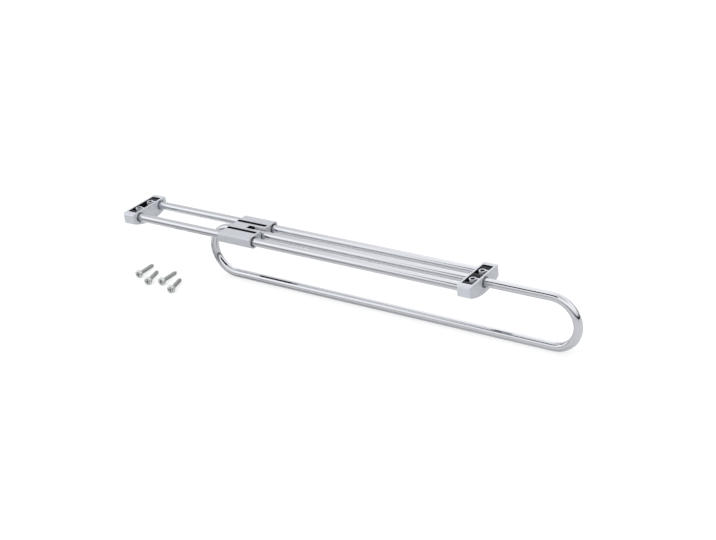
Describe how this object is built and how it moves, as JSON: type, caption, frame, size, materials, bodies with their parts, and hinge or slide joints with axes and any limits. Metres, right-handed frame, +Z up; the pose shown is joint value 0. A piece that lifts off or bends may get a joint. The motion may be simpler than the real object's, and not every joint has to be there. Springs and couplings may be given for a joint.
{
  "type": "pull_out_clothes_rail",
  "caption": "Pull-out clothes rail for under a wardrobe shelf: a carriage on twin guide rods draws a closed hanging loop out through the front bracket, with its fixing screws.",
  "frame": {"origin": "centre of the front bracket's top face, midway between its two screw holes", "axes": "X along the rail, +X the way the loop is pulled out; Y across the rail; +Z up to the shelf"},
  "size_m": [0.487, 0.082, 0.058],
  "materials": {
    "silver_plastic": "silver lacquer over black moulded plastic",
    "chromed_steel": "bright chromium plate",
    "black_plastic": "plain black moulding",
    "spring_steel": "oiled spring steel",
    "zinc_steel": "zinc plated"
  },
  "bodies": {
    "frame": {"rear_bracket": "silver_plastic", "front_bracket": "silver_plastic", "near_guide_rod": "chromed_steel", "far_guide_rod": "chromed_steel", "front_loop_bush": "black_plastic", "rear_near_rod_pin": "spring_steel", "rear_far_rod_pin": "spring_steel", "front_near_rod_pin": "spring_steel", "front_far_rod_pin": "spring_steel", "fixing_screw_1": "zinc_steel", "fixing_screw_2": "zinc_steel", "fixing_screw_3": "zinc_steel", "fixing_screw_4": "zinc_steel"},
    "slider": {"carriage_body": "silver_plastic", "rear_near_bush": "black_plastic", "rear_far_bush": "black_plastic", "front_near_bush": "black_plastic", "front_far_bush": "black_plastic", "hanging_loop": "chromed_steel", "loop_front_pin": "spring_steel", "loop_rear_pin": "spring_steel"}
  },
  "joints": [
    {"name": "pull_out", "type": "slide", "parent": "frame", "child": "slider", "axis": [1, 0, 0], "range_m": [-0.06, 0.224]}
  ]
}
